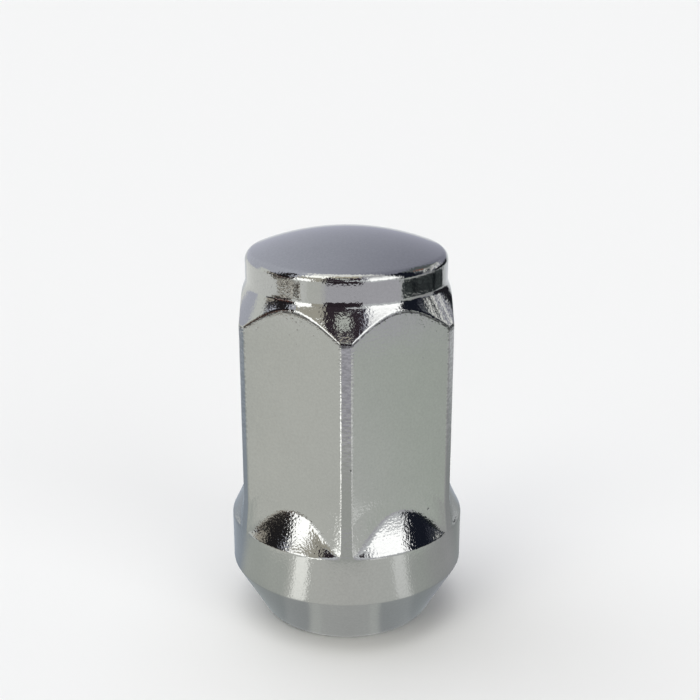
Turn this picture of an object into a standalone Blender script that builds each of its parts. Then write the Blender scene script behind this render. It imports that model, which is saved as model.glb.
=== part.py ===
"""A wheel lug nut: one forged, threaded and chrome-plated piece of steel.

It stands on its open end, where the 60 degree seat is, with the domed end on top.
The origin is the centre of the open face, +Z runs up the nut's axis, and one
corner of the hexagon faces -Y. Lengths are in metres.
"""
import bpy
from math import asin, cos, pi, radians, sin, sqrt, tan

# Driving dimensions of the hexagon and of what is turned around it
ACROSS_FLATS = 0.0190           # wrench size
OVERALL_HEIGHT = 0.0370         # open face to the top of the dome
BULGE_PROUD = 0.0015            # how far the bulge stands out from the flats
BULGE_HEIGHT = 0.0046           # the straight wall of the bulge
CORNER_SETBACK = 0.0003         # how far the turned corners lie inside the bulge
NECK_SETBACK = 0.0003           # how far the round neck lies inside the flats

# The domed end
DOME_RADIUS = 0.0230            # radius of the sphere that caps the nut
RIM_RADIUS = 0.00085            # rounding from the dome into the neck
NECK_HEIGHT = 0.0016            # straight wall of the neck, below the rim
NECK_FILLET = 0.0016            # hollow rounding from the neck into the chamfer
CHAMFER_ANGLE = radians(28)     # chamfer on the hexagon's corners, off the axis

# The bulge and its conical seat
SHOULDER_ANGLE = radians(26)    # slope from the flats out to the bulge, off the axis
SHOULDER_RADIUS = 0.0012        # rounding from the shoulder into the bulge
SEAT_ANGLE = radians(60)        # included angle of the seat
NOSE_WALL = 0.0020              # metal outside the thread at the seat's small end
NOSE_RADIUS = 0.0010            # rounding from the seat into the open face

# The blind hole for the stud, M12 x 1.5
THREAD_DIAMETER = 0.0120
THREAD_PITCH = 0.0015
LEAD_IN = 0.0004                # how far the 45 degree lead-in opens past the thread
CROWN_WALL = 0.0045             # metal between the drill point and the top of the dome
DRILL_POINT_ANGLE = radians(118)

# Rounding along every edge that the forging die leaves
EDGE_WIDTH = 0.0002
EDGE_SEGMENTS = 2
EDGE_LIMIT = radians(20)        # shallower edges are only facets of a round face

# Facets
STEPS_AROUND = 72
STEPS_DOME = 7
STEPS_RIM = 5
STEPS_FILLET = 4
MERGE = 0.00001

# Radii and heights that follow from them
flat_radius = ACROSS_FLATS / 2
neck_radius = flat_radius - NECK_SETBACK
bulge_radius = flat_radius + BULGE_PROUD
corner_radius = bulge_radius - CORNER_SETBACK
nose_radius = THREAD_DIAMETER / 2 + NOSE_WALL
sharp_thread_height = THREAD_PITCH * sqrt(3) / 2
bore_radius = THREAD_DIAMETER / 2 - sharp_thread_height * 5 / 8
lead_in_radius = THREAD_DIAMETER / 2 + LEAD_IN
seat_top = (bulge_radius - nose_radius) / tan(SEAT_ANGLE / 2)
bulge_top = seat_top + BULGE_HEIGHT
bulge_middle = seat_top + BULGE_HEIGHT / 2
drill_point_top = OVERALL_HEIGHT - CROWN_WALL
bore_top = drill_point_top - bore_radius / tan(DRILL_POINT_ANGLE / 2)


def arc(centre_r, centre_z, radius, start, end, steps):
    """Points of an arc in the (r, z) plane, with angles from +r towards +z."""
    points = []
    for step in range(steps + 1):
        angle = start + (end - start) * step / steps
        points.append((centre_r + radius * cos(angle), centre_z + radius * sin(angle)))
    return points


def turn(name, profile, collection):
    """Spin an (r, z) profile, listed from its top to its bottom, around Z."""
    mesh = bpy.data.meshes.new(name)
    vertices = [(r, 0, z) for r, z in profile]
    edges = [(i, i + 1) for i in range(len(profile) - 1)]
    mesh.from_pydata(vertices, edges, [])
    turned = bpy.data.objects.new(name, mesh)
    collection.objects.link(turned)
    screw = turned.modifiers.new("Turn", "SCREW")
    screw.steps = STEPS_AROUND
    screw.render_steps = STEPS_AROUND
    screw.use_merge_vertices = True
    screw.merge_threshold = MERGE
    return turned


def hide_as_cutter(tool):
    """Keep a cutter in the file, but out of the model."""
    tool.hide_render = True
    tool.display_type = "WIRE"


def combine(target, tool, operation):
    """Add a Boolean of the tool to the target."""
    boolean = target.modifiers.new(tool.name, "BOOLEAN")
    boolean.operation = operation
    boolean.object = tool
    boolean.solver = "EXACT"


def weld_seams(target):
    """Merge the doubled points that a Boolean leaves where faces are cut."""
    weld = target.modifiers.new("Weld", "WELD")
    weld.merge_threshold = MERGE


def domed_end_profile():
    """Dome, rim, neck and chamfer, down to the turned corners of the hexagon."""
    dome_centre = OVERALL_HEIGHT - DOME_RADIUS
    rim_centre_r = neck_radius - RIM_RADIUS
    dome_edge = asin(rim_centre_r / (DOME_RADIUS - RIM_RADIUS))
    rim_centre_z = dome_centre + (DOME_RADIUS - RIM_RADIUS) * cos(dome_edge)
    neck_bottom = rim_centre_z - NECK_HEIGHT
    points = arc(0, dome_centre, DOME_RADIUS, pi / 2, pi / 2 - dome_edge, STEPS_DOME)
    points += arc(rim_centre_r, rim_centre_z, RIM_RADIUS, pi / 2 - dome_edge, 0, STEPS_RIM)[1:]
    points += arc(neck_radius + NECK_FILLET, neck_bottom, NECK_FILLET, pi, pi + CHAMFER_ANGLE, STEPS_FILLET)
    chamfer_start_r, chamfer_start_z = points[-1]
    chamfer_drop = (corner_radius - chamfer_start_r) / tan(CHAMFER_ANGLE)
    points.append((corner_radius, chamfer_start_z - chamfer_drop))
    points += [(corner_radius, seat_top), (0, seat_top)]
    return points


def bulge_profile():
    """Shoulder, bulge and seat, from inside the hexagon down to the open face."""
    rounding_z = bulge_top - SHOULDER_RADIUS * tan(SHOULDER_ANGLE / 2)
    rounding_r = bulge_radius - SHOULDER_RADIUS
    rounding = arc(rounding_r, rounding_z, SHOULDER_RADIUS, SHOULDER_ANGLE, 0, STEPS_FILLET)
    shoulder_r, shoulder_z = rounding[0]
    inner_top = shoulder_z + (shoulder_r - neck_radius) / tan(SHOULDER_ANGLE)
    points = [(0, inner_top), (neck_radius, inner_top)]
    points += rounding
    points.append((bulge_radius, seat_top))
    half_seat = SEAT_ANGLE / 2
    nose_centre_r = nose_radius - NOSE_RADIUS * tan((pi / 2 - half_seat) / 2)
    points += arc(nose_centre_r, NOSE_RADIUS, NOSE_RADIUS, -half_seat, -pi / 2, STEPS_FILLET)
    points.append((0, 0))
    return points


def bore_profile():
    """The blind hole with its drill point and lead-in, as a solid to cut away."""
    lead_in_depth = lead_in_radius - bore_radius
    return [
        (0, drill_point_top),
        (bore_radius, bore_top),
        (bore_radius, lead_in_depth),
        (lead_in_radius + LEAD_IN, -LEAD_IN),
        (0, -LEAD_IN),
    ]


def chrome():
    """Bright nickel and chrome plating."""
    material = bpy.data.materials.new("chrome")
    material.use_nodes = True
    shader = material.node_tree.nodes["Principled BSDF"]
    shader.inputs["Base Color"].default_value = (0.56, 0.58, 0.58, 1)
    shader.inputs["Metallic"].default_value = 1
    shader.inputs["Roughness"].default_value = 0.12
    return material


def hexagon_bar(collection):
    """The bar that gives the flats, a little longer than the hexagon on the nut."""
    bottom = bulge_middle
    top = OVERALL_HEIGHT + BULGE_HEIGHT
    bpy.ops.mesh.primitive_cylinder_add(
        vertices=6,
        radius=flat_radius / cos(pi / 6),
        depth=top - bottom,
        location=(0, 0, (top + bottom) / 2),
    )
    bpy.ops.object.transform_apply(location=True)
    bar = bpy.context.object
    for owner in list(bar.users_collection):
        owner.objects.unlink(bar)
    collection.objects.link(bar)
    return bar


for leftover in list(bpy.data.objects):
    bpy.data.objects.remove(leftover)

parts = bpy.data.collections.new("lug_nut")
cutters = bpy.data.collections.new("cutters")
bpy.context.scene.collection.children.link(parts)
bpy.context.scene.collection.children.link(cutters)

nut = hexagon_bar(parts)
nut.name = "lug_nut"
nut.data.materials.append(chrome())

domed_end = turn("domed_end", domed_end_profile(), cutters)
bulge = turn("bulge", bulge_profile(), cutters)
bore = turn("bore", bore_profile(), cutters)
for tool in (domed_end, bulge, bore):
    hide_as_cutter(tool)

combine(nut, domed_end, "INTERSECT")
combine(nut, bulge, "UNION")
weld_seams(nut)
rounding = nut.modifiers.new("Die edges", "BEVEL")
rounding.width = EDGE_WIDTH
rounding.segments = EDGE_SEGMENTS
rounding.limit_method = "ANGLE"
rounding.angle_limit = EDGE_LIMIT
combine(nut, bore, "DIFFERENCE")
weld_seams(nut)
nut.data.shade_smooth()
nut.data.set_sharp_from_angle(angle=EDGE_LIMIT)
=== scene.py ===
"""The looks of a chrome-plated wheel lug nut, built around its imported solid.

Blender 4.5. Lengths are in metres, unless a name ends in _MM. +Z runs up the nut,
and azimuth 0 is the camera's side, -Y, with azimuths growing towards +X.
"""
from math import atan2, cos, degrees, pi, radians, sin, sqrt, tan

import bpy
import numpy as np
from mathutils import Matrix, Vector, noise


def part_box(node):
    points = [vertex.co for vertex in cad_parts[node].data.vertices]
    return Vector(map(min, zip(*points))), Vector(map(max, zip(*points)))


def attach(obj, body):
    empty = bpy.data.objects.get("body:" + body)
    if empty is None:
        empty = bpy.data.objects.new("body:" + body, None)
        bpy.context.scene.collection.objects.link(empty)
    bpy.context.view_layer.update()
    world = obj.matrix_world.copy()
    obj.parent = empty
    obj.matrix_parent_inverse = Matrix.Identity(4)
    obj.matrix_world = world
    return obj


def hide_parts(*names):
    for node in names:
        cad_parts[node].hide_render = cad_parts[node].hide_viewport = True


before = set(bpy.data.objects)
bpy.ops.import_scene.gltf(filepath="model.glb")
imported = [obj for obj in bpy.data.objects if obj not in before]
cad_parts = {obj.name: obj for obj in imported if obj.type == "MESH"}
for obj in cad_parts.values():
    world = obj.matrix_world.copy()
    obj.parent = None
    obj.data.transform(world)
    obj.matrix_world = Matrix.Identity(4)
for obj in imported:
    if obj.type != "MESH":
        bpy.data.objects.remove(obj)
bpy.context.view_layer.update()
nut_low, nut_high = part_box("lug_nut")


# The hexagon: a steel slug is cold-forged in a die that gives it six flats for a
# 19 mm wrench. Turning it afterwards leaves a narrow round strip on each corner.
MM = 0.001
HEIGHT_MM = nut_high.z / MM
FLAT_MM = 9.5
CORNER_MM = 10.7
CORNER_EDGE_MM = 0.5


def from_mid_flat(angle):
    """How far an angle lies from the middle of its flat; angle 0 is mid-flat."""
    return abs((angle + pi / 6) % (pi / 3) - pi / 6)


def hexagon_radius(angle):
    """Distance from the axis to the wall of the hexagon."""
    off = from_mid_flat(angle)
    centre_x = FLAT_MM - CORNER_EDGE_MM
    centre_y = sqrt((CORNER_MM - CORNER_EDGE_MM) ** 2 - centre_x ** 2)
    if off < atan2(centre_y, FLAT_MM):
        return FLAT_MM / cos(off)
    if off > atan2(centre_y, centre_x):
        return CORNER_MM
    along = cos(off) * centre_x + sin(off) * centre_y
    return along + sqrt(along ** 2 - centre_x ** 2 - centre_y ** 2 + CORNER_EDGE_MM ** 2)


# The domed end: the closed top of the forging, turned to a round neck. A hollow
# rounding leads from the neck into the chamfer that cuts the corners to scallops.
DOME_MM = 23.0
RIM_MM = 0.95
NECK_MM = 9.2
NECK_FOOT_MM = 32.92
NECK_HOLLOW_MM = 1.6
CHAMFER = radians(28)
CHAMFER_BOW = radians(6)
CHAMFER_EDGE_MM = 0.2
PAINTED_LINE_GRAIN = 1.4                # marks the chamfer edge's lower leg: more grain and a painted dark reflection line
STRIP_GRAIN = 1.0               # marks the strips that are turned on the corners


def arc(centre, radius, start, end, count):
    """Points of an arc in the (radius, height) plane."""
    turn = np.linspace(start, end, count)
    return np.array(centre) + radius * np.column_stack([np.cos(turn), np.sin(turn)])


def bend(before, corner, after, count, start=0.0, end=1.0):
    """A smooth curve from one point to another, pulled towards the corner."""
    t = np.linspace(start, end, count)[:, None]
    return (1 - t) ** 2 * before + 2 * t * (1 - t) * corner + t ** 2 * after


def straight(start, end, count):
    """Points between two others, without them, and closer together near both."""
    t = np.linspace(0, 1, count + 2)[1:-1, None]
    eased = 0.35 * t + 0.65 * t * t * (3 - 2 * t)
    return start + (end - start) * eased


def towards(start, end, distance):
    """The point at a distance from the first point, on the way to the second."""
    way = end - start
    return start + way / np.linalg.norm(way) * distance


def domed_end(angle):
    """Stretches of (points, grain) from the dome's top to the chamfer's lower edge."""
    wall = hexagon_radius(angle)
    dome_centre = HEIGHT_MM - DOME_MM
    rim_radius = NECK_MM - RIM_MM
    dome_edge = np.arcsin(rim_radius / (DOME_MM - RIM_MM))
    rim_height = dome_centre + (DOME_MM - RIM_MM) * cos(dome_edge)
    dome = arc((0, dome_centre), DOME_MM, pi / 2, pi / 2 - dome_edge, 30)[1:]
    rim = arc((rim_radius, rim_height), RIM_MM, pi / 2 - dome_edge, 0, 20)[1:]
    hollow_centre = (NECK_MM + NECK_HOLLOW_MM, NECK_FOOT_MM)
    neck = arc(hollow_centre, NECK_HOLLOW_MM, pi, pi + CHAMFER - CHAMFER_BOW, 12)
    cone_top = arc(hollow_centre, NECK_HOLLOW_MM, pi, pi + CHAMFER, 2)[-1]
    foot = np.array([CORNER_MM, cone_top[1] - (CORNER_MM - cone_top[0]) / tan(CHAMFER)])
    slope = np.array([sin(CHAMFER - CHAMFER_BOW), -cos(CHAMFER - CHAMFER_BOW)])
    bow = neck[-1] + slope * np.linalg.norm(foot - neck[-1]) / 2
    cone = bend(neck[-1], bow, foot, 61)
    cut = np.interp(wall, cone[:, 0], np.linspace(0, 1, 61))
    edge = np.array([wall, np.interp(wall, cone[:, 0], cone[:, 1])])
    edge_share = min(CHAMFER_EDGE_MM / np.linalg.norm(foot - neck[-1]), 0.8 * cut)
    chamfer = bend(neck[-1], bow, foot, 12, 0.0, cut - edge_share)[1:]
    below = edge - np.array([0, CHAMFER_EDGE_MM])
    scallop = bend(chamfer[-1], edge, below, 12)[1:]
    return [
        (dome, 0.25),
        (rim, 0.9),
        (straight(rim[-1], neck[0], 3), 0.25),
        (neck, 0.55),
        (chamfer, 0.7),
        (scallop[:7], 0.8),
        (scallop[7:], PAINTED_LINE_GRAIN),
    ]


# The bulge: a wide collar above the 60 degree seat that centres the wheel. Over it
# the flats run out in scooped pockets, which the die leaves between the corners.
BULGE_RADIUS_MM = nut_high.x / MM
SEAT_SLOPE = radians(30)
NOSE_RADIUS_MM = 8.0
NOSE_ROUND_MM = 1.0
SEAT_TOP_MM = (BULGE_RADIUS_MM - NOSE_RADIUS_MM) / tan(SEAT_SLOPE)
SEAT_EDGE_MM = 0.12
BULGE_WALL_MM = 4.6
BULGE_TOP_MM = SEAT_TOP_MM + BULGE_WALL_MM
POCKET_BOW = radians(5)
SWEEP_ROUND_MM = 0.6
# Sizes of the pocket, by degrees from the middle of a flat
POCKET_AT = [0, 8.6, 16, 20, 24, 27, 30]
SWEEP_START_MM = [4.6, 4.5, 4.4, 4.2, 3.8, 3.0, 2.8]
SWEEP_OUT_MM = [0.0, 0.04, 0.15, 0.27, 0.37, 0.26, 0.22]
POCKET_TOP_MM = [3.5, 3.2, 2.25, 1.5, 0.5, 0.45, 0.45]
POCKET_RIM_MM = [0.3, 0.35, 0.6, 0.85, 0.7, 0.35, 0.3]
CREST_MM = [0.16, 0.16, 0.16, 0.18, 0.25, 0.5, 0.6]


def pocket_size(off, sizes):
    """A size of the pocket at an angle from mid-flat, smoothed from its neighbours."""
    near = degrees(off) + np.linspace(-1.5, 1.5, 7)
    near = np.minimum(near, 60 - near)
    return np.interp(near ** 2, np.square(POCKET_AT), sizes).mean()


def bulge_and_seat(angle, start):
    """Stretches of (points, grain) from a point on the wall down to the open face."""
    off = from_mid_flat(angle)
    wall = hexagon_radius(angle)
    sweep_out = min(pocket_size(off, SWEEP_OUT_MM), 0.85 * (BULGE_RADIUS_MM - wall))
    sweep_bend = np.array([wall, BULGE_TOP_MM + pocket_size(off, SWEEP_START_MM)])
    pocket_top = np.array([wall + sweep_out, BULGE_TOP_MM + pocket_size(off, POCKET_TOP_MM)])
    bulge_top = np.array([BULGE_RADIUS_MM, BULGE_TOP_MM])
    seat_top = np.array([BULGE_RADIUS_MM, SEAT_TOP_MM])
    nose = np.array([NOSE_RADIUS_MM, 0.0])
    sweep_top = sweep_bend + np.array([0, SWEEP_ROUND_MM])
    sweep = bend(sweep_top, sweep_bend, towards(sweep_bend, pocket_top, 0.1), 8)[:-1]
    drop = bulge_top - pocket_top
    half_length = np.linalg.norm(drop) / 2
    inwards = np.array([drop[1], -drop[0]]) / (2 * half_length)
    pocket_bow = pocket_top + drop / 2 + inwards * half_length * tan(POCKET_BOW)
    rim = pocket_size(off, POCKET_RIM_MM)
    crest = pocket_size(off, CREST_MM)
    rim_share = min(rim / half_length / 2, 0.45)
    crest_share = min(crest / half_length / 2, 0.45)
    pocket = bend(pocket_top, pocket_bow, bulge_top, 11, rim_share, 1 - crest_share)
    upper_leg = min(rim, 0.8 * np.linalg.norm(sweep_bend - pocket_top))
    pocket_rim = bend(towards(pocket_top, sweep_bend, upper_leg), pocket_top, pocket[0], 13)
    crest_round = bend(pocket[-1], bulge_top, towards(bulge_top, seat_top, crest), 10)
    seat_edge = bend(towards(seat_top, bulge_top, SEAT_EDGE_MM), seat_top,
                     towards(seat_top, nose, SEAT_EDGE_MM), 7)
    nose_centre = (NOSE_RADIUS_MM - NOSE_ROUND_MM * tan(SEAT_SLOPE), NOSE_ROUND_MM)
    nose_round = arc(nose_centre, NOSE_ROUND_MM, -SEAT_SLOPE, -pi / 2, 12)
    on_strip = degrees(off) > 26.5
    sweep_grain = np.interp(degrees(off), (8, 15), (0.4, 0.98))
    return [
        (straight(start, sweep[0], 24), STRIP_GRAIN if on_strip else 0.22),
        (sweep, sweep_grain),
        (straight(sweep[-1], pocket_rim[0], 5), sweep_grain),
        (pocket_rim, 0.9),
        (pocket[1:-1], 0.9),
        (crest_round, 0.8),
        (straight(crest_round[-1], seat_edge[0], 8), 0.7),
        (seat_edge, 0.9),
        (straight(seat_edge[-1], nose_round[0], 8), 0.4),
        (nose_round, 0.4),
    ]


# The blind hole: drilled from the open end, countersunk at its mouth and tapped
# M12 x 1.5, right-handed, down to the last few millimetres, which keep the drill's wall.
THREAD_MM = 6.0
PITCH_MM = 1.5
THREAD_DEPTH_MM = 0.8119
THREAD_INSIDE_MM = THREAD_MM - THREAD_DEPTH_MM
LEAD_IN_MM = 0.4
MOUTH_MM = THREAD_MM + LEAD_IN_MM
CROWN_MM = 4.5                  # metal between the drill's tip and the dome's top
DRILL_POINT = radians(118)
DRILL_TIP_MM = HEIGHT_MM - CROWN_MM
DRILL_END_MM = DRILL_TIP_MM - THREAD_INSIDE_MM / tan(DRILL_POINT / 2)
TAPPED_MM = 24.5
DRILL_WALL_MM = 27.5            # a ring on the plain wall past the thread
THREAD_COLUMNS = 84
ROWS_PER_PITCH = 16


def thread_radius(angle, height):
    """Radius of the tapped wall, fading to the drill's wall past the last turn."""
    phase = (height / PITCH_MM - angle / (2 * pi)) % 1
    from_root = abs(phase - 0.5) * 2
    groove = np.clip((0.875 - from_root) / 0.625, 0, 1)
    fade = np.clip((TAPPED_MM - height) / PITCH_MM + 0.5, 0, 1)
    return THREAD_INSIDE_MM + (THREAD_MM - THREAD_INSIDE_MM) * groove * fade


bore_angles = np.arange(THREAD_COLUMNS) * 2 * pi / THREAD_COLUMNS
bore_rings = []
for height in np.arange(0, TAPPED_MM + PITCH_MM, PITCH_MM / ROWS_PER_PITCH):
    bore_rings.append((np.maximum(thread_radius(bore_angles, height), MOUTH_MM - height), height))
bore_rings.append((THREAD_INSIDE_MM, DRILL_WALL_MM))
for share in (1.0, 0.75, 0.5, 0.25, 0.08):
    height = DRILL_END_MM + (DRILL_TIP_MM - DRILL_END_MM) * (1 - share)
    bore_rings.append((THREAD_INSIDE_MM * share, height))


# One skin runs over the outside and another lines the hole. Both are grids of rings,
# and flat faces join them across the open end.
def sector_angles():
    """Angles of the outer grid's columns, close together where a flat meets a corner."""
    half = np.concatenate([
        np.linspace(0, 24, 15)[:-1],
        np.linspace(24, 26.6, 5)[:-1],
        np.linspace(26.6, 28.3, 10)[:-1],
        np.linspace(28.3, 30, 4),
    ])
    sector = np.concatenate([-half[:0:-1], half[:-1]])
    return np.radians(np.concatenate([sector + 60 * number for number in range(6)]))


def ring_points(angles, radius, height):
    """Points of one closed ring."""
    level = np.broadcast_to(height, angles.shape)
    return np.column_stack([radius * np.cos(angles), radius * np.sin(angles), level])


def grid_faces(rows, columns, first):
    """Quads between the rings of a grid, whose points start at an index."""
    faces = []
    for row in range(rows - 1):
        here = first + row * columns
        for column in range(columns):
            after = (column + 1) % columns
            faces.append((here + column, here + columns + column, here + columns + after, here + after))
    return faces


def fan_faces(tip, ring, columns, downwards):
    """Triangles from a point to a closed ring."""
    faces = []
    for column in range(columns):
        after = (column + 1) % columns
        triangle = (tip, ring + column, ring + after)
        faces.append(triangle[::-1] if downwards else triangle)
    return faces


def bridge_faces(outer, outer_angles, inner, inner_angles):
    """Triangles of a flat face between two rings with different numbers of points."""
    count_outer, count_inner = len(outer_angles), len(inner_angles)
    turns = (outer_angles - inner_angles[0]) % (2 * pi)
    start = int(np.argmin(turns))
    turns_outer = np.append(np.roll(turns, -start), 2 * pi + turns[start])
    turns_inner = np.append(inner_angles - inner_angles[0], 2 * pi)
    faces = []
    a = b = 0
    while a < count_outer or b < count_inner:
        outer_here = outer + (start + a) % count_outer
        inner_here = inner + b % count_inner
        outer_first = b >= count_inner or (a < count_outer and turns_outer[a + 1] <= turns_inner[b + 1])
        if outer_first:
            a += 1
            faces.append((outer_here, inner_here, outer + (start + a) % count_outer))
        else:
            b += 1
            faces.append((outer_here, inner_here, inner + b % count_inner))
    return faces


SWELL_INSET_MM = 0.02           # keeps the swell inside the solid's sizes
BROAD_SWELL_MM = 0.014
NARROW_SWELL_MM = 0.005


def forging_swell(points):
    """The die's slight unevenness: a shallow swell, under 0.02 mm high."""
    swell = []
    for point in points:
        place = Vector(point)
        broad = noise.noise(place * 0.33 + Vector((3, 1, 7)))
        narrow = noise.noise(place * 0.9 + Vector((9, 4, 2)))
        swell.append(BROAD_SWELL_MM * broad + NARROW_SWELL_MM * narrow)
    return np.array(swell)


skin_angles = sector_angles()
columns = []
for angle in skin_angles:
    upper = domed_end(angle)
    columns.append(upper + bulge_and_seat(angle, upper[-1][0][-1]))
profiles = np.array([np.vstack([points for points, amount in column]) for column in columns])
skin_grain = np.array([np.concatenate([np.full(len(points), amount) for points, amount in column])
                       for column in columns]).T.ravel()
skin_rows = profiles.shape[1]
skin = np.vstack([ring_points(skin_angles, profiles[:, row, 0], profiles[:, row, 1])
                  for row in range(skin_rows)])
inset = forging_swell(skin) - SWELL_INSET_MM
inset *= np.clip(skin[:, 2] / 1.5, 0, 1) * np.clip((HEIGHT_MM - skin[:, 2]) / 0.8, 0, 1)
skin[:, :2] *= (1 + inset / np.linalg.norm(skin[:, :2], axis=1))[:, None]
bore = np.vstack([ring_points(bore_angles, radius, height) for radius, height in bore_rings])

skin_first = 1
bore_first = skin_first + len(skin)
bore_tip = bore_first + len(bore)
last_ring = bore_first - len(skin_angles)
body_points = np.vstack([[[0, 0, HEIGHT_MM]], skin, bore, [[0, 0, DRILL_TIP_MM]]]) * MM
body_faces = fan_faces(0, skin_first, len(skin_angles), False)
body_faces += grid_faces(skin_rows, len(skin_angles), skin_first)
body_faces += bridge_faces(last_ring, skin_angles, bore_first, bore_angles)
body_faces += grid_faces(len(bore_rings), THREAD_COLUMNS, bore_first)
body_faces += fan_faces(bore_tip, bore_tip - THREAD_COLUMNS, THREAD_COLUMNS, True)

body_mesh = bpy.data.meshes.new("plated_nut")
body_mesh.from_pydata(body_points.tolist(), [], body_faces)
body_mesh.validate()
body_mesh.shade_smooth()
BORE_GRAIN = 0.4
body_grain = np.full(len(body_points), BORE_GRAIN)
body_grain[skin_first:bore_first] = skin_grain
body_mesh.attributes.new("grain", "FLOAT", "POINT").data.foreach_set("value", body_grain)
nut = bpy.data.objects.new("plated_nut", body_mesh)
bpy.context.scene.collection.objects.link(nut)


# The plating: bright nickel under a thin coat of chrome. It follows the forging's
# grain, so edges between light and dark reflections break up into fine specks.
class Wire:
    """One shader socket, on which sums and comparisons add their Math nodes."""

    def __init__(self, tree, socket=None):
        self.tree = tree
        self.socket = socket

    def node(self, kind, settings=None, inputs=None, output=0):
        """Add a node, with its settings first and then its sockets' values or links."""
        made = self.tree.nodes.new("ShaderNode" + kind)
        for name, value in (settings or {}).items():
            if name == "stops":
                for position, colour in value[2:]:
                    made.color_ramp.elements.new(position)
                for element, (position, colour) in zip(made.color_ramp.elements, sorted(value)):
                    element.position = position
                    element.color = (*colour, 1)
            else:
                setattr(made, name, value)
        for name, value in (inputs or {}).items():
            if isinstance(value, Wire):
                self.tree.links.new(value.socket, made.inputs[name])
            else:
                made.inputs[name].default_value = value
        return Wire(self.tree, made.outputs[output])

    def math(self, operation, *values):
        """Add a Math node."""
        return self.node("Math", {"operation": operation}, dict(enumerate(values)))

    def __add__(self, other):
        return self.math("ADD", self, other)

    def __radd__(self, other):
        return self.math("ADD", other, self)

    def __sub__(self, other):
        return self.math("SUBTRACT", self, other)

    def __rsub__(self, other):
        return self.math("SUBTRACT", other, self)

    def __mul__(self, other):
        return self.math("MULTIPLY", self, other)

    def __rmul__(self, other):
        return self.math("MULTIPLY", other, self)

    def __truediv__(self, other):
        return self.math("DIVIDE", self, other)

    def __rtruediv__(self, other):
        return self.math("DIVIDE", other, self)

    def rise(self, low, high, start=0.0, end=1.0):
        """Smoothly from one value to another as this one goes from low to high."""
        ends = {"From Min": low, "From Max": high, "To Min": start, "To Max": end}
        return self.node("MapRange", {"interpolation_type": "SMOOTHSTEP"}, {"Value": self, **ends})

    def between(self, low, high, soft):
        """1 where the value lies between two others, with a soft edge."""
        return self.rise(low - soft, low + soft) * self.rise(high - soft, high + soft, 1.0, 0.0)

    def mix(self, first, second):
        """First colour where this value is 0, second where it is 1."""
        return self.node("Mix", {"data_type": "RGBA", "clamp_factor": True},
                         {0: self, 6: first, 7: second}, 2)

    def parts(self):
        """The three numbers of a vector."""
        split = self.node("SeparateXYZ", None, {"Vector": self}).socket.node
        return [Wire(self.tree, socket) for socket in split.outputs]


# How many grains, waves, clouds, dimples, pits and turning marks lie in a metre
GRAIN_SCALE = 4600.0
PEEL_SCALE = 2000.0
CLOUD_SCALE = 260.0
DIMPLE_SCALE = 1200.0
PIT_SCALE = 330.0
TURNING_SCALE = 4200.0
BUMP_HEIGHT = 0.00001
BRIGHT_METAL = (0.49, 0.495, 0.487, 1)
DULL_METAL = (0.385, 0.39, 0.383, 1)
BRIGHT_TURNING = (0.60, 0.60, 0.61, 1)
DULL_TURNING = (0.33, 0.33, 0.335, 1)
SOOT_AND_PAINTED_DARK = (0.03, 0.03, 0.03, 1)

plating = bpy.data.materials.new("chrome_plating")
plating.use_nodes = True
wire = Wire(plating.node_tree)
place = wire.node("TexCoord", output=3)
amount = wire.node("Attribute", {"attribute_name": "grain"}, output=2)
grain = wire.node("TexNoise", None, {"Vector": place, "Scale": GRAIN_SCALE, "Detail": 1.5})
peel = wire.node("TexNoise", None, {"Vector": place, "Scale": PEEL_SCALE, "Detail": 1.5})
cloud = wire.node("TexNoise", None,
                  {"Vector": place, "Scale": CLOUD_SCALE, "Detail": 3.0, "Roughness": 0.6})
dimple = wire.node("TexVoronoi", None, {"Vector": place, "Scale": DIMPLE_SCALE}).rise(0.0, 0.13, 1.0, 0.0)
pit = wire.node("TexVoronoi", None, {"Vector": place, "Scale": PIT_SCALE}).rise(0.02, 0.045, 1.0, 0.0)
skin_relief = ((grain - 0.5) * (0.1 + 1.9 * amount) + (peel - 0.5) * (0.03 + 0.5 * amount)
               + dimple * 0.45 - pit * 2.0)
relief = wire.node("Bump", None, {"Strength": 1.0, "Distance": BUMP_HEIGHT, "Height": skin_relief})
tone = (cloud * 0.35 + grain * 0.65).mix(BRIGHT_METAL, DULL_METAL)
# The tool's fine marks show on the upper half of each turned strip
along = wire.node("VectorMath", {"operation": "MULTIPLY"}, {0: place, 1: (0.4, 0.4, 1.0)})
marks = wire.node("TexNoise", None, {"Vector": along, "Scale": TURNING_SCALE, "Detail": 1.0})
turned = amount.rise(0.985, 0.998) * place.parts()[2].rise(0.016, 0.021) * 0.32
tone = turned.mix(tone, marks.rise(0.38, 0.62).mix(DULL_TURNING, BRIGHT_TURNING))
# A painted dark reflection: a mottled dark line along the lower leg of the chamfer's edge, laid into the
# colour together with the pits' soot
painted_dark_line = amount.rise(1.0, 1.25) * peel.rise(0.34, 0.52)
pits_and_painted_line = (pit * 0.6 + painted_dark_line * 0.68).mix(tone, SOOT_AND_PAINTED_DARK)
shader = plating.node_tree.nodes["Principled BSDF"]
shader.inputs["Metallic"].default_value = 1.0
wire.tree.links.new(pits_and_painted_line.socket, shader.inputs["Base Color"])
wire.tree.links.new((0.05 + 0.04 * cloud).socket, shader.inputs["Roughness"])
wire.tree.links.new(relief.socket, shader.inputs["Normal"])
nut.data.materials.append(plating)
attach(nut, "root")
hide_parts("lug_nut")


# The floor: one wide sheet of pale matt card. It lies a hair below the open face,
# so that the nut and the glowing paper with its painted light both rest on it.
FLOOR_SIZE = 8
FLOOR_HEIGHT = -0.00002
bpy.ops.mesh.primitive_plane_add(size=FLOOR_SIZE, location=(0, 0, FLOOR_HEIGHT))
floor = bpy.context.object
floor.name = "floor"
pale_card = bpy.data.materials.new("pale_card")
pale_card.use_nodes = True
matt = pale_card.node_tree.nodes["Principled BSDF"]
matt.inputs["Base Color"].default_value = (0.87, 0.87, 0.845, 1)
matt.inputs["Roughness"].default_value = 1.0
matt.inputs["Specular IOR Level"].default_value = 0.0
floor.data.materials.append(pale_card)


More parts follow.
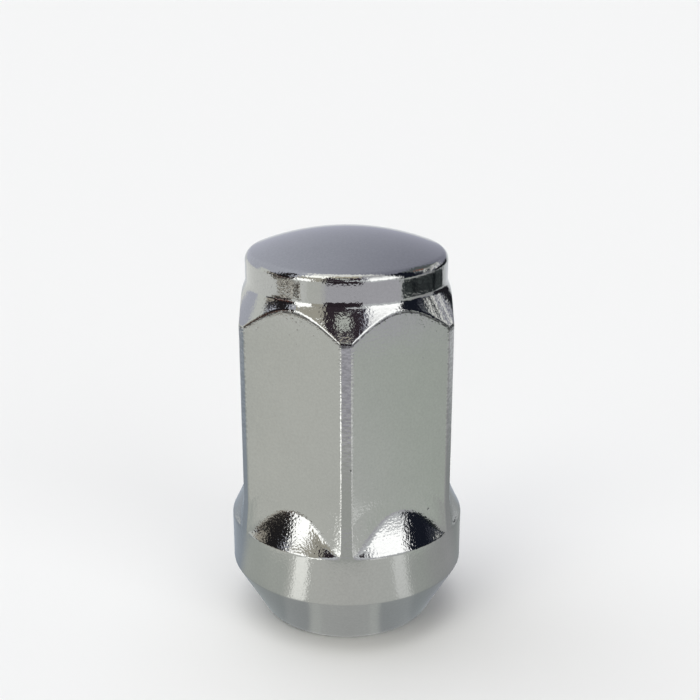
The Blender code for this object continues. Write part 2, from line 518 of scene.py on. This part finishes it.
# The studio: a pale cloth tent, hung with soft boxes and with dark cards beside them.
# They are placed by azimuth and elevation, and a later one hangs in front of those
# before it. The tent's own wall shows plain behind the nut.
world = bpy.data.worlds.new("studio")
bpy.context.scene.world = world
world.use_nodes = True
sky = Wire(world.node_tree)
east, north, up = sky.node("TexCoord", output=0).parts()
azimuth = sky.math("ARCTAN2", east, 0 - north) * degrees(1)
elevation = sky.math("ARCSINE", up) * degrees(1)

left_wall = (0.72, 0.74, 0.84, 1)
right_wall = (0.33, 0.335, 0.415, 1)
cards = [
    # azimuth from and to, elevation from and to, softness, colour
    (-84, 63, 62, 100, 3.0, (1.4, 1.4, 1.37)),              # roof light
    (-28, 63, -4, 26, 1.5, (0.90, 0.92, 0.95)),             # pale screen in front
    (-114, -98, -4, 22, 2.0, (1.0, 1.02, 0.97)),            # white screen at the left
    (-59, -38, -4, 20, 1.5, (2.4, 2.4, 2.35)),              # left soft box, lower half
    (-58, -25, 20, 37, 1.5, (0.66, 0.63, 0.54)),            # its frame
    (-58, -25, 37, 62, 2.0, (2.2, 2.2, 2.1)),               # left soft box, upper half
    (-38, -25, -4, 20, 2.0, (0.60, 0.57, 0.48)),            # cream screen beside it
    (-26, 22, 47, 62, 1.0, (0.76, 0.70, 0.56)),             # cream screen above the front
    (-26, 0, 13, 46, 1.0, (0.055, 0.04, 0.052)),            # dark screen, left of the middle
    (-1, 20, 25, 46, 1.0, (0.055, 0.04, 0.052)),            # dark screen, right of the middle
    (-12, 5, 31.5, 40, 1.0, (0.85, 0.88, 0.82)),            # the window between them
    (61, 88, -20, 52, 1.5, (0.015, 0.018, 0.03)),           # black curtain at the right
    (60, 62.5, 7, 20, 1.5, (1.9, 1.9, 1.9)),                # foot of the right soft box
    (88, 112, 2, 18, 2.0, (0.03, 0.035, 0.05)),             # low black screen
    (88, 133, 18, 50, 3.0, (0.16, 0.18, 0.185)),            # grey screen above it
    (95, 107, 26, 38, 2.0, (0.38, 0.19, 0.145)),            # rust-coloured card
    (-84, -67, 3, 47, 1.5, (0.03, 0.028, 0.03)),            # black curtain at the left
    (-97, -58, -6, 18.5, 1.5, (0.025, 0.023, 0.025)),       # black screen at its foot
    (-99, -85, 5, 13, 1.5, (0.62, 0.57, 0.49)),             # cream card on that screen
    (-84, -62, -6, 3, 1.5, (0.26, 0.12, 0.09)),             # brown card below it
]
light = (0.5 + east).mix(left_wall, right_wall)
for az_from, az_to, el_from, el_to, soft, colour in cards:
    mask = azimuth.between(az_from, az_to, soft) * elevation.between(el_from, el_to, soft)
    light = mask.mix(light, (*colour, 1))
# The right soft box fades towards its top, and a slatted blind hangs behind it
right_box = azimuth.between(25, 61, 2.0) * elevation.between(11, 62, 2.0)
light = right_box.mix(light, elevation.rise(20, 52).mix((2.3, 2.3, 2.3, 1), (0.75, 0.75, 0.78, 1)))
blind = azimuth.between(96, 132, 2.0) * elevation.between(3, 27, 2.0)
slats = sky.math("SINE", azimuth * 0.5 - elevation * 0.35).rise(0.1, 0.35)
light = (blind * slats).mix(light, (1.5, 1.5, 1.45, 1))
backdrop = (0.93, 0.93, 0.93, 1)
seen = sky.node("LightPath").mix(light, backdrop)
world.node_tree.links.new(seen.socket, world.node_tree.nodes["Background"].inputs["Color"])


# Cards around the nut, which only the plating sees and which give off their own colours:
# paper on the floor, with the floor's light and the nut's shade painted into it,
# and low dark cards that stand upright on it and bend around the nut.
def ring_card(name, rows, az_from, az_to, steps):
    """A card bent around the nut; its rows are (radius, height) pairs."""
    turns = np.radians(np.linspace(az_from, az_to, steps + 1))
    points = [(radius * sin(turn), -radius * cos(turn), height)
              for radius, height in rows for turn in turns]
    width = steps + 1
    quads = []
    for row in range(len(rows) - 1):
        for i in range(steps):
            here = row * width + i
            quads.append((here, here + 1, here + 1 + width, here + width))
    mesh = bpy.data.meshes.new(name)
    mesh.from_pydata(points, [], quads)
    card = bpy.data.objects.new(name, mesh)
    bpy.context.scene.collection.objects.link(card)
    card.visible_camera = False
    card.visible_diffuse = False
    card.visible_shadow = False
    paint = bpy.data.materials.new(name)
    paint.use_nodes = True
    paint.node_tree.nodes.clear()
    mesh.materials.append(paint)
    return Wire(paint.node_tree)


def light_card(board, colour):
    """Let a card give off a colour."""
    glow = board.node("Emission", None, {"Color": colour})
    surface = board.tree.nodes.new("ShaderNodeOutputMaterial")
    board.tree.links.new(glow.socket, surface.inputs["Surface"])


PAPER_HEIGHT = FLOOR_HEIGHT / 2
paper_rows = [(0.004, PAPER_HEIGHT), (0.05, PAPER_HEIGHT), (3.9, PAPER_HEIGHT)]
paper = ring_card("paper_with_painted_light", paper_rows, -180, 180, 72)
spot = paper.node("TexCoord", output=3)
across, away = spot.parts()[:2]
bearing = paper.math("ARCTAN2", across, 0 - away) * degrees(1)
distance = paper.math("SQRT", across * across + away * away)
# Its painted light and shade by bearing, from behind over the left, the front and the right
around = paper.node("ValToRGB", {"stops": [
    (0.00, (0.42, 0.47, 0.53)),
    (0.215, (0.42, 0.47, 0.53)),
    (0.245, (0.60, 0.63, 0.60)),
    (0.29, (0.68, 0.71, 0.67)),
    (0.33, (0.88, 0.89, 0.83)),
    (0.36, (0.86, 0.87, 0.82)),
    (0.50, (0.79, 0.79, 0.76)),
    (0.63, (0.80, 0.82, 0.79)),
    (0.67, (0.68, 0.73, 0.67)),
    (0.71, (0.60, 0.61, 0.60)),
    (0.76, (0.52, 0.52, 0.53)),
    (0.82, (0.36, 0.38, 0.38)),
    (0.88, (0.36, 0.38, 0.38)),
    (0.91, (0.42, 0.46, 0.51)),
    (1.00, (0.42, 0.47, 0.53)),
]}, {"Fac": bearing / 360 + 0.5})
# Pale beyond the nut's shade, with a mauve sheet in front and a white one at the left
behind = (1 - bearing.between(-128, 108, 14)) * distance.rise(0.028, 0.10)
around = (behind * 0.85).mix(around, (0.80, 0.82, 0.84, 1))
front_far = bearing.between(-24, 62, 5) * distance.rise(0.09, 0.11)
around = front_far.mix(around, (0.70, 0.69, 0.745, 1))
left_far = bearing.between(-150, -43, 2) * distance.rise(0.108, 0.118)
around = left_far.mix(around, (0.98, 0.99, 0.96, 1))
# Painted shade where the strip on the front corner mirrors the paper, from its middle and from its foot
strip = bearing.between(-12, 12, 5) * distance.between(0.062, 0.1, 0.016)
around = strip.mix(around, (0.56, 0.55, 0.61, 1))
strip_foot = bearing.between(-16, 16, 6) * distance.between(0.030, 0.056, 0.006)
around = (strip_foot * 0.8).mix(around, (0.58, 0.60, 0.57, 1))
# Shade beside the nut
near_left = bearing.between(-90, -47, 4) * distance.rise(0.025, 0.031, 1.0, 0.0)
around = (near_left * 0.8).mix(around, (0.62, 0.65, 0.61, 1))
near_right = bearing.between(50, 95, 5) * distance.rise(0.025, 0.031, 1.0, 0.0)
around = (near_right * 0.5).mix(around, (0.46, 0.47, 0.47, 1))
# Two streaks of light, which stand upright in the bulge
left_streak = bearing.between(-42, -30, 2.5) * distance.between(0.015, 0.036, 0.004)
right_streak = bearing.between(37, 48, 2.5) * distance.between(0.015, 0.036, 0.004)
reach = distance.node("MapRange", None, {"Value": distance, "From Min": 0.01, "From Max": 0.06})
around = (left_streak * (0.28 + 0.45 * reach)).mix(around, (2.6, 2.6, 2.5, 1))
around = (right_streak * (0.08 + 0.25 * reach)).mix(around, (2.6, 2.6, 2.6, 1))
# Two broken lines of light along the edges of the front corner
breaks = paper.node("TexNoise", None, {"Vector": spot, "Scale": 130.0, "Detail": 3.0, "Roughness": 0.6})
breaks = breaks.node("MapRange", None, {"Value": breaks, "From Min": 0.38, "From Max": 0.62})
left_line = bearing.between(-34, -20, 3) * distance.between(0.040, 0.086, 0.004)
right_line = bearing.between(20, 32, 3) * distance.between(0.034, 0.086, 0.004)
around = (left_line * (0.35 + 0.65 * breaks)).mix(around, (3.2, 3.2, 3.1, 1))
around = (right_line * (0.15 + 0.85 * breaks)).mix(around, (1.5, 1.5, 1.5, 1))
# Painted shadow under the seat, and a faint painted glow in it
foot = distance.rise(0.009, 0.021, 1.0, 0.0) * (0.60 - 0.28 * bearing.between(-26, 23, 4))
around = foot.mix(around, (0.20, 0.23, 0.27, 1))
seat_glow = bearing.between(-26, -18, 2) + bearing.between(16, 23, 2)
seat_glow = seat_glow * distance.between(0.005, 0.0125, 0.001)
light_card(paper, (seat_glow * 0.18).mix(around, (0.85, 0.90, 0.84, 1)))

black_card = ring_card("black_card", [(0.118, 0.0), (0.118, 0.012)], 62, 134, 18)
weave = black_card.node("VectorMath", {"operation": "MULTIPLY"},
                        {0: black_card.node("TexCoord", output=3), 1: (1.0, 1.0, 10.0)})
weave = black_card.node("TexNoise", None, {"Vector": weave, "Scale": 35.0, "Detail": 3.0, "Roughness": 0.6})
light_card(black_card, weave.rise(0.46, 0.68).mix((0.012, 0.016, 0.018, 1), (0.13, 0.15, 0.15, 1)))

brown_card = ring_card("brown_card", [(0.148, 0.0), (0.148, 0.030)], -87, -62, 8)
blotch = brown_card.node("TexNoise", None, {"Vector": brown_card.node("TexCoord", output=3),
                                            "Scale": 70.0, "Detail": 4.0, "Roughness": 0.7})
light_card(brown_card, blotch.between(0.3, 0.56, 0.04).mix((0.60, 0.55, 0.47, 1), (0.03, 0.026, 0.026, 1)))

speckled_card = ring_card("speckled_card", [(0.121, 0.0), (0.121, 0.013)], -80, -50, 8)
specks = speckled_card.node("TexNoise", None, {"Vector": speckled_card.node("TexCoord", output=3),
                                               "Scale": 240.0, "Detail": 2.0, "Roughness": 0.6})
light_card(speckled_card, specks.rise(0.44, 0.58).mix((0.04, 0.03, 0.02, 1), (1.05, 1.0, 0.9, 1)))

dark_rail = ring_card("dark_rail", [(0.16, 0.010), (0.16, 0.042)], 108, 148, 12)
light_card(dark_rail, (0.02, 0.02, 0.025, 1))

front_card = ring_card("front_card", [(0.06, 0.0225), (0.06, 0.046)], -22, 16, 12)
light_card(front_card, (0.04, 0.029, 0.038, 1))


# The table lamp: a wide, soft sun high over the table. It lights the floor evenly,
# and the plating doesn't mirror it.
LAMP_ANGLE = radians(70)
LAMP_STRENGTH = 1.15
sun_data = bpy.data.lights.new("table_lamp", "SUN")
sun_data.angle = LAMP_ANGLE
sun_data.energy = LAMP_STRENGTH
sun = bpy.data.objects.new("table_lamp", sun_data)
sun.rotation_euler = (radians(-14), radians(-10), 0)
sun.visible_glossy = False
sun.visible_camera = False
bpy.context.scene.collection.objects.link(sun)


# The camera stands in front of one corner of the hexagon, ten centimetres away,
# and looks down on the nut with a long lens.
FRAME_PIXELS = 700
FOCAL_PIXELS = 1172.256
LOOKS_DOWN = radians(18.404)
camera_data = bpy.data.cameras.new("camera")
camera_data.sensor_width = 36
camera_data.lens = FOCAL_PIXELS * camera_data.sensor_width / FRAME_PIXELS
camera_data.clip_start = 0.001
camera = bpy.data.objects.new("camera", camera_data)
camera.location = (0.00031, -0.103229, 0.060003)
camera.rotation_euler = (pi / 2 - LOOKS_DOWN, 0, 0)
bpy.context.scene.collection.objects.link(camera)
bpy.context.scene.camera = camera
bpy.context.scene.view_settings.view_transform = "Standard"
